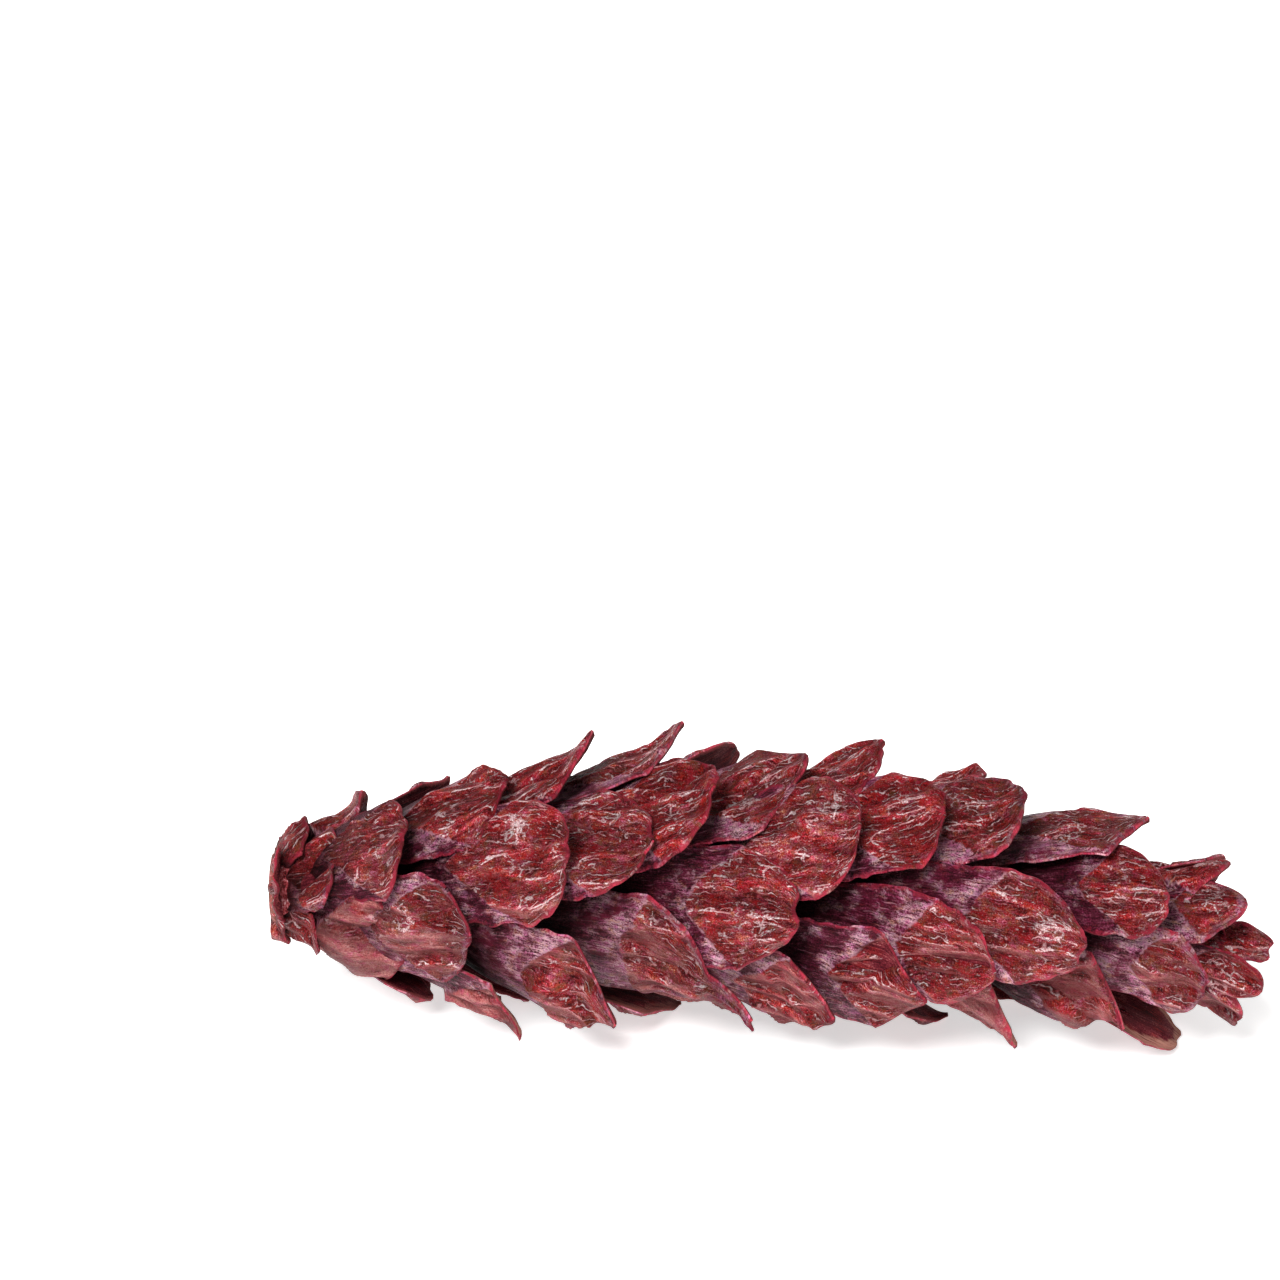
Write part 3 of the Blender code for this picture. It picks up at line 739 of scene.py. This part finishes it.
# seven tones, from the darkest few hundredths of a pattern to its brightest
def graded(tree, value, middle, spread, tones):
    ramp = addNode(tree, "ValToRGB", {0: value})
    stops = ramp.color_ramp.elements
    for level in toneLevels[1:-1]:
        stops.new(middle + spread * level)
    for stop, tone in zip(stops, tones):
        stop.color = toLinear(tone)
    stops[0].position = middle + spread * toneLevels[0]
    stops[-1].position = middle + spread * toneLevels[-1]
    return ramp.outputs["Color"]


def newMaterial(name):
    material = bpy.data.materials.new(name)
    material.use_nodes = True
    return material, material.node_tree, material.node_tree.nodes["Principled BSDF"]


def marksRead(tree, *names):
    kinds = {name: "Vector" if name in ("place", "fan") else "Fac" for name in names}
    return {name: addNode(tree, "Attribute", attribute_name=name).outputs[kind]
            for name, kind in kinds.items()}


# what every finish of the cone ends with: its colour, how matt its grain is, and its bumps
def finishedWith(tree, shader, finish, colour, grain, skin):
    low, high = finish["matt"]
    matt = {"Value": grain, "From Min": 0.3, "From Max": 0.7, "To Min": low, "To Max": high}
    bump = {"Height": skin, "Strength": finish["bump"], "Distance": finish["bumpDepth"]}
    tree.links.new(colour, shader.inputs["Base Color"])
    tree.links.new(addNode(tree, "MapRange", matt).outputs["Result"], shader.inputs["Roughness"])
    tree.links.new(addNode(tree, "Bump", bump).outputs["Normal"], shader.inputs["Normal"])
    shader.inputs["Metallic"].default_value = 0.0
    shader.inputs["IOR"].default_value = finish["ior"]
    shader.inputs["Specular IOR Level"].default_value = finish["specular"]


outerFinish = {
    # tones from the deepest to the palest
    "shown": ("#2c0206", "#5c0d13", "#8d292e", "#a9464c", "#c26e73", "#e8abb0", "#ffe9eb"),
    "covered": ("#120002", "#2f040e", "#4f0d22", "#6a2037", "#8a3f55", "#b96e83", "#e8b0bf"),
    "bare": ("#581a1a", "#8a3938", "#aa5a59", "#bc6f6d", "#cc8682", "#dfa3a0", "#f6d2d0"),
    # washes
    "redder": "#ff969c",
    "towardsCrimson": "#ffcaf4",
    "towardsOchre": "#ffecb6",
    # painted shade, laid on towards each scale's root, deep in the gaps
    "sunk": "#5c151c",
    "shadowed": "#92606f",
    # coats
    "pits": "#2a0508",
    "vivid": "#b4141a",
    "weathered": "#7c523f",
    "haze": "#a36b78",
    "tan": "#9a5c38",
    # pale pink of rubbed paint, which on the threads is painted highlight as well
    "rubbedPaleAndHighlight": "#dd9ca0",
    # white of the crazing and of the thread cores, where it is painted highlight as well as rubbed paint
    "thread": "#ffeced",
    # painted shadow beside the threads
    "threadShadow": "#4a0b10",
    "whitePaint": "#ece4e4",
    "rim": "#b62f45",
    "lip": "#c08a98",
    "magenta": "#8a1c40",
    "violet": "#aa6890",
    "chalk": "#dc9cab",
    "brightChalk": "#f4c8d2",
    # millimetres, across and along a scale
    "gritSize": (0.20, 0.26),  # paint grit is under 0.05, too fine to show, so it is drawn this coarse
    "lineSize": (0.34, 2.8),  # wood fibres are about 0.03 wide, so these stand for bundles of them
    "coveredLineSize": (0.34, 4.0),
    "patchSize": (1.5, 2.4),  # as far apart as the wrinkles are
    "crinkleSize": (0.75, 2.2),
    "hueSize": (1.0, 1.5),
    "speckSize": (0.17, 0.20),  # dust is finer too, and so are the pits of the paint
    "pitSize": (0.18, 0.24),
    "crazingSize": (0.9, 1.5),
    "threadsApart": 1.15,  # the pale threads of the photo are 0.15 to 0.3 wide
    "hairsApart": 0.85,
    "ior": 1.48,
    "specular": 0.14,
    "matt": (0.30, 0.66),
    "bump": 1.0,
    "bumpDepth": 0.0015,
}


# White pine scale, dry wood brushed with thin burgundy paint. The paint has sunk in unevenly and
# rubbed off the wrinkles, so the eye sees mottled reds with pale broken threads and crimson rims.
def rubbedPaintOnPineScale():
    finish = outerFinish
    material, tree, shader = newMaterial("pineScaleRubbedBurgundyPaint")
    read = marksRead(tree, "place", "fan", "border", "rim", "crest", "veins", "fleck", "depth", "tone",
                     "bared", "shade", "bloom")
    place, fan = read["place"], read["fan"]
    wavy = swayed(tree, fan, (2.4, 3.2), (1.4, 1.6))
    curly = swayed(tree, swayed(tree, fan, (2.6, 4.5), (4.2, 0.0)), (0.55, 0.9), (0.9, 0.0))
    grit = blotches(tree, place, finish["gritSize"], 2, 0.7)
    lines = blotches(tree, wavy, finish["lineSize"], 5, 0.72)
    patches = blotches(tree, wavy, finish["patchSize"], 6, 0.75)
    crinkle = awayFrom(tree, blotches(tree, wavy, finish["crinkleSize"], 3, 0.6), 0.5)
    hue = blotches(tree, place, finish["hueSize"], 4, 0.7)
    pits = stepped(tree, blotches(tree, place, finish["pitSize"], 1), 0.42, 0.32)

    # the shown face
    # the crests of the relief are drawn a little lighter, a painted highlight
    level = weighed(tree, (grit, 0.36), (lines, 0.50), (patches, 0.30), (read["crest"], 0.03),
                    (crinkle, -0.30))
    broad = weighed(tree, (blotches(tree, wavy, (2.4, 3.6), 5, 0.65), 1.0), (read["shade"], 0.12))
    vivid = weighed(tree, (blotches(tree, wavy, (1.8, 3.4), 5, 0.65), 1.0), (read["tone"], 0.06))
    mottled = weighed(tree, (blotches(tree, place, (1.9, 2.4), 6, 0.75), 1.0), (read["bloom"], 0.04))
    hazy = weighed(tree, (blotches(tree, wavy, (2.6, 3.2), 6, 0.72), 1.0), (grit, 0.25))
    colour = graded(tree, level, 0.556, 0.066, finish["shown"])
    redder = stepped(tree, broad, 0.50, 0.60, 0.95)
    colour = coated(tree, colour, (finish["redder"], redder), blend="MULTIPLY")
    colour = coated(tree, colour,
                    (finish["vivid"], stepped(tree, vivid, 0.565, 0.64),
                     stepped(tree, grit, 0.70, 0.40, 0.75)),
                    (finish["weathered"], stepped(tree, mottled, 0.55, 0.62, 0.6)),
                    (finish["haze"], stepped(tree, hazy, 0.70, 0.80, 0.5)))
    colour = coated(tree, colour,
                    (finish["towardsCrimson"], stepped(tree, hue, 0.50, 0.59)),
                    (finish["towardsOchre"], stepped(tree, hue, 0.50, 0.41)), blend="MULTIPLY")
    browned = stepped(tree, blotches(tree, wavy, (1.5, 1.7), 3), 0.66, 0.74, 0.5)
    colour = coated(tree, colour, (finish["tan"], browned))

    # pale threads along the wrinkle crests, rubbed paint and painted highlight together, with a painted
    # shadow dark beside them
    nearVein = weighed(tree, (blotches(tree, place, (0.5, 0.6), 2), 0.5), (1.0, -0.25), (read["veins"], 1.0))
    nearLine = ruled(tree, curly, finish["threadsApart"])
    rubbed = blotches(tree, place, (4.5, 4.5), 1)
    brokenVeins = weighed(tree, (blotches(tree, wavy, (1.4, 2.6), 3, 0.6), 1.0), (rubbed, 0.8))
    brokenVeins = stepped(tree, brokenVeins, 0.90, 0.95)
    brokenLines = weighed(tree, (blotches(tree, wavy, (0.9, 2.8), 3, 0.6), 1.0), (rubbed, 0.8))
    brokenLines = stepped(tree, brokenLines, 0.92, 0.97)
    onVeins = together(tree, thread(tree, nearVein, 0.0, 0.17), brokenVeins)
    onLines = together(tree, thread(tree, nearLine, 0.0, 0.14), brokenLines)
    # worn: the threads, rubbed paint that is also a painted highlight on the crests
    worn = addNode(tree, "Math", {0: onVeins, 1: onLines}, operation="MAXIMUM").outputs[0]
    # painted shadow along one side of each thread
    shadowBesideVeins = together(tree, thread(tree, nearVein, 0.34, 0.24), brokenVeins)
    shadowBesideLines = together(tree, thread(tree, nearLine, 0.30, 0.22), brokenLines)
    shadowBesideThreads = addNode(tree, "Math", {0: shadowBesideVeins, 1: shadowBesideLines}, operation="MAXIMUM").outputs[0]
    # painted shadow beside the threads, then the threads in the pale pink and white of rubbed paint and
    # painted highlight
    colour = coated(tree, colour,
                    (finish["threadShadow"], shadowBesideThreads, 0.62),
                    (finish["rubbedPaleAndHighlight"], worn, 0.9),
                    (finish["thread"], worn, stepped(tree, patches, 0.46, 0.56),
                     stepped(tree, grit, 0.28, 0.50)))

    # crazed whitish spots, specks of dust, pits and the lump of thick paint
    spots = addNode(tree, "Math", {0: read["fleck"], 1: 0.0}, operation="MAXIMUM").outputs[0]
    crazedAcross, crazedAlong = finish["crazingSize"]
    cells = {0: wavy, 1: (1 / crazedAcross, 1 / crazedAlong, 1.0)}
    cells = addNode(tree, "VectorMath", cells, operation="MULTIPLY").outputs[0]
    cracks = addNode(tree, "TexVoronoi", {"Vector": cells, "Scale": 1.0}, feature="DISTANCE_TO_EDGE")
    crazed = weighed(tree, (blotches(tree, place, (2.6, 3.0), 3), 0.7), (spots, 0.18),
                     (blotches(tree, wavy, (0.7, 1.1), 4, 0.7), 0.6))
    cracked = thread(tree, cracks.outputs["Distance"], 0.0, 0.12)
    crazed = together(tree, cracked, stepped(tree, crazed, 0.73, 0.80))
    specks = stepped(tree, blotches(tree, place, finish["speckSize"], 1), 0.62, 0.72)
    lump = weighed(tree, (read["fleck"], 0.30), (blotches(tree, wavy, (0.8, 1.3), 4, 0.7), 1.0))
    colour = coated(tree, colour,
                    (finish["rubbedPaleAndHighlight"], crazed, 0.8),
                    (finish["thread"], crazed, stepped(tree, grit, 0.44, 0.58)),
                    (finish["rubbedPaleAndHighlight"], specks, 0.8),
                    (finish["pits"], pits, 0.6),
                    (finish["whitePaint"], stepped(tree, lump, 0.86, 0.89)))

    # what faces down is paler and pinker, and so are some patches and the scales that are worn bare
    upward = addNode(tree, "SeparateXYZ", {0: addNode(tree, "NewGeometry").outputs["Normal"]}).outputs["Z"]
    paleness = weighed(tree, (upward, -0.6), (patches, 1.1), (read["bared"], 0.5))
    bare = graded(tree, level, 0.56, 0.080, finish["bare"])
    bare = coated(tree, bare, (finish["towardsCrimson"], stepped(tree, hue, 0.50, 0.60)), blend="MULTIPLY")
    bare = coated(tree, bare,
                  (finish["shown"][3], stepped(tree, broad, 0.54, 0.66, 0.6)),
                  (finish["pits"], pits, 0.38))
    colour = coated(tree, colour, (bare, stepped(tree, paleness, 0.48, 0.76, 0.9)))

    # the covered part, chalky beside the face
    coveredLines = blotches(tree, wavy, finish["coveredLineSize"], 5, 0.75)
    level = weighed(tree, (grit, 0.36), (coveredLines, 0.53), (patches, 0.30))
    fine = stepped(tree, weighed(tree, (grit, 0.4), (lines, 0.6)), 0.42, 0.56)
    near = weighed(tree, (read["bloom"], 0.16), (stepped(tree, read["border"], -6.5, -0.6, 0.10), 1.0))
    magenta = stepped(tree, blotches(tree, wavy, (3.4, 5.0), 4), 0.46, 0.62)
    chalky = weighed(tree, (blotches(tree, wavy, (2.2, 3.4), 6, 0.72), 0.8), (lines, 0.2), (near, 1.0))
    hairs = thread(tree, ruled(tree, wavy, finish["hairsApart"]), 0.0, 0.13)
    brokenHairs = stepped(tree, blotches(tree, wavy, (0.8, 3.4), 3), 0.54, 0.62)
    under = graded(tree, level, 0.595, 0.074, finish["covered"])
    under = coated(tree, under,
                   (finish["magenta"], magenta, stepped(tree, read["bloom"], 0.4, 1.0), 0.75),
                   (finish["chalk"], stepped(tree, chalky, 0.62, 0.76), 0.85, fine),
                   (finish["chalk"], hairs, brokenHairs, 0.55),
                   (finish["pits"], pits, 0.35))
    clouds = blotches(tree, place, (2.8, 3.4), 4, 0.6)
    shadowed = stepped(tree, clouds, 0.50, 0.36, 0.55)
    under = coated(tree, under, (finish["shadowed"], shadowed), blend="MULTIPLY")
    bright = stepped(tree, weighed(tree, (clouds, 1.0), (near, 0.6)), 0.58, 0.72)
    under = coated(tree, under, (finish["brightChalk"], bright, fine, 0.65))
    under = coated(tree, under,
                   (finish["towardsCrimson"], stepped(tree, hue, 0.49, 0.60)),
                   (finish["towardsOchre"], stepped(tree, hue, 0.46, 0.38, 0.7)), blend="MULTIPLY")
    violet = weighed(tree, (blotches(tree, wavy, (2.2, 3.6), 5, 0.65), 1.0), (near, 0.35))
    violet = stepped(tree, violet, 0.62, 0.74)
    under = coated(tree, under, (finish["violet"], violet, 0.6, stepped(tree, lines, 0.38, 0.56)))

    # a band like it runs along the rim of some scales
    band = weighed(tree, (read["rim"], 1.0), (blotches(tree, place, (2.0, 2.4), 5, 0.65), 3.4))
    band = stepped(tree, band, 3.0, 2.0)
    colour = coated(tree, colour, (under, band, stepped(tree, read["bloom"], 0.45, 1.0, 0.8)))

    # where one meets the other
    edgeOfFace = weighed(tree, (blotches(tree, place, (0.7, 0.7), 4), 1.2), (read["border"], 1.0))
    shown = stepped(tree, edgeOfFace, 0.42, 0.78)
    brokenLip = stepped(tree, blotches(tree, place, (1.4, 1.6), 3), 0.47, 0.58)
    lip = thread(tree, edgeOfFace, 0.55, 0.42)
    colour = coated(tree, under, (colour, shown), (finish["lip"], lip, brokenLip, 0.7))

    # paint gathers on the rim, and most on that of the shown face
    edge = weighed(tree, (read["rim"], 1.0), (blotches(tree, place, (0.7, 0.9), 4), 1.6))
    brokenEdge = stepped(tree, blotches(tree, place, (1.2, 1.8), 3), 0.38, 0.50)
    gathered = weighed(tree, (shown, 0.4), (1.0, 0.5))
    colour = coated(tree, colour, (finish["rim"], stepped(tree, edge, 1.42, 0.92), brokenEdge, gathered))

    # furrows and roots get less light, and some scales are lighter than others
    furrow = {"Value": together(tree, awayFrom(tree, read["veins"], 0.0), shown), "From Min": 0.4,
              "From Max": 1.1, "To Min": 1.0, "To Max": 0.60}
    furrow = addNode(tree, "MapRange", furrow).outputs["Result"]
    lightness = together(tree, furrow, weighed(tree, (read["tone"], 0.17), (1.0, 1.0)))
    # painted shade towards the root
    sunk = stepped(tree, read["depth"], 0.72, 0.14)
    colour = coated(tree, colour, (finish["sunk"], sunk), blend="MULTIPLY")
    colour = addNode(tree, "HueSaturation", {"Value": lightness, "Color": colour}).outputs["Color"]
    skin = weighed(tree, (lines, 0.9), (patches, 0.9), (grit, 0.45), (crinkle, -2.0), (worn, 0.10),
                   (shadowBesideThreads, -0.12))
    finishedWith(tree, shader, finish, colour, lines, skin)
    return material


innerFinish = {
    "wood": ("#180105", "#35060e", "#50111b", "#68222b", "#854042", "#a86c68", "#cc9f94"),
    "stain": "#ff9c9c",  # a wash
    "rim": "#a04a4c",
    "unpainted": "#b98574",
    "gritSize": (0.20, 0.26),  # millimetres, coarser than real grit so that it shows
    "fibreSize": (0.36, 6.0),  # bundles of fibres
    "ior": 1.48,
    "specular": 0.06,
    "matt": (0.60, 0.85),
    "bump": 0.9,
    "bumpDepth": 0.0004,
}


# The inner side of a scale, smooth dry wood that the paint has only stained: dark maroon with long
# fine fibres, redder at the rim, and tan along the rim where a scale was left bare.
def stainedInnerPineScale():
    finish = innerFinish
    material, tree, shader = newMaterial("pineScaleStainedInnerSide")
    read = marksRead(tree, "place", "fan", "rim", "depth", "bared")
    place, fan = read["place"], read["fan"]
    grit = blotches(tree, place, finish["gritSize"], 2, 0.7)
    fibres = blotches(tree, swayed(tree, fan, (3.0, 6.0), (0.8, 1.0)), finish["fibreSize"], 5, 0.7)
    level = weighed(tree, (grit, 0.34), (fibres, 0.42), (blotches(tree, place, (2.2, 4.0), 5, 0.65), 0.30))
    colour = graded(tree, level, 0.53, 0.07, finish["wood"])
    stained = stepped(tree, blotches(tree, place, (2.6, 5.0), 4), 0.50, 0.62, 0.8)
    colour = coated(tree, colour, (finish["stain"], stained), blend="MULTIPLY")
    edge = weighed(tree, (read["rim"], 1.0), (blotches(tree, place, (0.7, 0.9), 4), 1.6))
    edge = stepped(tree, edge, 1.35, 0.85)
    unpainted = weighed(tree, (read["rim"], 1.0), (blotches(tree, place, (1.2, 2.4), 4), 2.4))
    unpainted = stepped(tree, unpainted, 2.9, 2.1)
    colour = coated(tree, colour,
                    (finish["rim"], edge, stepped(tree, grit, 0.32, 0.52), 0.7),
                    (finish["unpainted"], unpainted, read["bared"], stepped(tree, fibres, 0.30, 0.55)))
    # painted shade: the inner side darkens towards the root, deep between the scales
    light = {"Value": read["depth"], "From Min": 0.2, "From Max": 0.9, "To Min": 0.45, "To Max": 1.0}
    light = addNode(tree, "MapRange", light).outputs["Result"]
    colour = addNode(tree, "HueSaturation", {"Value": light, "Color": colour}).outputs["Color"]
    finishedWith(tree, shader, finish, colour, fibres, fibres)
    return material


axisFinish = {
    "wood": ("#150203", "#2c0609", "#420d11", "#551619", "#702b2c", "#935350", "#b8857c"),
    "worn": "#6f4638",
    "fibreSize": (0.5, 4.0),  # millimetres, bundles of fibres
    "gritSize": (0.25, 0.3),  # coarser than real grit so that it shows
    "ior": 1.5,
    "specular": 0.25,
    "matt": (0.65, 0.90),
    "bump": 1.0,
    "bumpDepth": 0.0006,
}


# The axis of the cone, fibrous wood that the paint has barely reached: almost black red deep inside,
# painted like the scales near the base, and worn to brown wood at the scar.
def fibrousConeAxis():
    finish = axisFinish
    material, tree, shader = newMaterial("pineAxisFibrousWood")
    place = marksRead(tree, "place")["place"]
    fibres = blotches(tree, place, finish["fibreSize"], 5, 0.7)
    grit = blotches(tree, place, finish["gritSize"], 2, 0.7)
    colour = graded(tree, weighed(tree, (fibres, 0.6), (grit, 0.4)), 0.5, 0.08, finish["wood"])
    along = addNode(tree, "SeparateXYZ", {0: place}).outputs["Y"]
    paint = graded(tree, weighed(tree, (fibres, 0.5), (grit, 0.5)), 0.5, 0.07, outerFinish["shown"])
    worn = stepped(tree, blotches(tree, place, (0.6, 0.6), 5, 0.7), 0.36, 0.54)
    colour = coated(tree, colour,
                    (paint, stepped(tree, along, 14.0, 7.0)),
                    (finish["worn"], stepped(tree, along, 2.6, 1.4), worn, 0.85))
    finishedWith(tree, shader, finish, colour, fibres, fibres)
    return material


print("growing the scales")
outerSide = rubbedPaintOnPineScale()
innerSide = stainedInnerPineScale()
dice = np.random.default_rng(cone["seed"])
scales = [growScale(number, dice) for number in range(cone["scaleCount"])]
pieces = [meshRow("scaleRow%02d" % row, scales[row::cone["rows"]], [outerSide, innerSide])
          for row in range(cone["rows"])]
print("growing the axis")
pieces.append(growAxis(fibrousConeAxis()))
for piece in pieces:
    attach(piece, "root")
    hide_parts("pine_cone")

studio = {
    "floor": "#f6f5f4",
    "floorSize": 6.0,
    "floorRoughness": 0.9,
    "sky": "#ffffff",
    "glow": 0.55,  # the table is lit from beneath a little, as product tables are
    "skyStrength": 0.30,
    "keyWatts": 32.0,
    "keySize": 0.6,
    "keyFrom": (-0.45, -0.70, 1.10),
    "fillWatts": 3.0,
    "fillSize": 1.2,
    "fillFrom": (0.9, -0.5, 0.6),
    "lightsAimAt": (0.0, 0.0, 0.02),
}


def softLight(name, watts, size, place):
    light = bpy.data.lights.new(name, "AREA")
    light.shape = "DISK"
    light.energy, light.size = watts, size
    made = bpy.data.objects.new(name, light)
    bpy.context.scene.collection.objects.link(made)
    made.location = place
    direction = Vector(studio["lightsAimAt"]) - made.location
    made.rotation_euler = direction.to_track_quat("-Z", "Y").to_euler()


print("lighting the table")
bpy.ops.mesh.primitive_plane_add(size=studio["floorSize"], location=(0, 0, 0))
floor = bpy.context.object
floor.name = "table"
paper, paperTree, paperShader = newMaterial("matteWhitePaper")
paperShader.inputs["Base Color"].default_value = toLinear(studio["floor"])
paperShader.inputs["Roughness"].default_value = studio["floorRoughness"]
paperShader.inputs["Emission Color"].default_value = toLinear(studio["sky"])
paperShader.inputs["Emission Strength"].default_value = studio["glow"]
floor.data.materials.append(paper)

world = bpy.data.worlds.new("paleStudio")
world.use_nodes = True
world.node_tree.nodes["Background"].inputs["Color"].default_value = toLinear(studio["sky"])
world.node_tree.nodes["Background"].inputs["Strength"].default_value = studio["skyStrength"]
bpy.context.scene.world = world
softLight("keyLight", studio["keyWatts"], studio["keySize"], studio["keyFrom"])
softLight("fillLight", studio["fillWatts"], studio["fillSize"], studio["fillFrom"])
bpy.context.scene.view_settings.view_transform = "Standard"

view = {
    "lens": 85.0,  # millimetres, as is the width of the sensor
    "sensor": 36.0,
    "above": 30.0,  # degrees
    "middle": 0.075,  # the point of the axis that the picture is measured from
    "picture": 1280,  # pixels of a picture as wide as it is high, and where that point lies in it
    "pixel": (771, 887),
    "pixelSize": 0.00015,  # metres of the cone to a pixel
    "clip": (0.01, 20.0),
}

print("placing the camera")
lens = bpy.data.cameras.new("camera")
lens.lens, lens.sensor_width = view["lens"], view["sensor"]
lens.clip_start, lens.clip_end = view["clip"]
camera = bpy.data.objects.new("camera", lens)
bpy.context.scene.collection.objects.link(camera)
tiltDown = math.radians(view["above"])
right = Vector((1, 0, 0))
forward = Vector((0, math.cos(tiltDown), -math.sin(tiltDown)))
up = Vector((0, math.sin(tiltDown), math.cos(tiltDown)))
middle = Vector((view["middle"], 0, 0)) + Vector(cone["shift"])
distance = view["lens"] / view["sensor"] * view["picture"] * view["pixelSize"]
offRight, offDown = (pixel - view["picture"] / 2 for pixel in view["pixel"])
eye = middle - right * offRight * view["pixelSize"] + up * offDown * view["pixelSize"] - forward * distance
camera.matrix_world = Matrix.Translation(eye) @ Matrix((right, up, -forward)).transposed().to_4x4()
bpy.context.scene.camera = camera
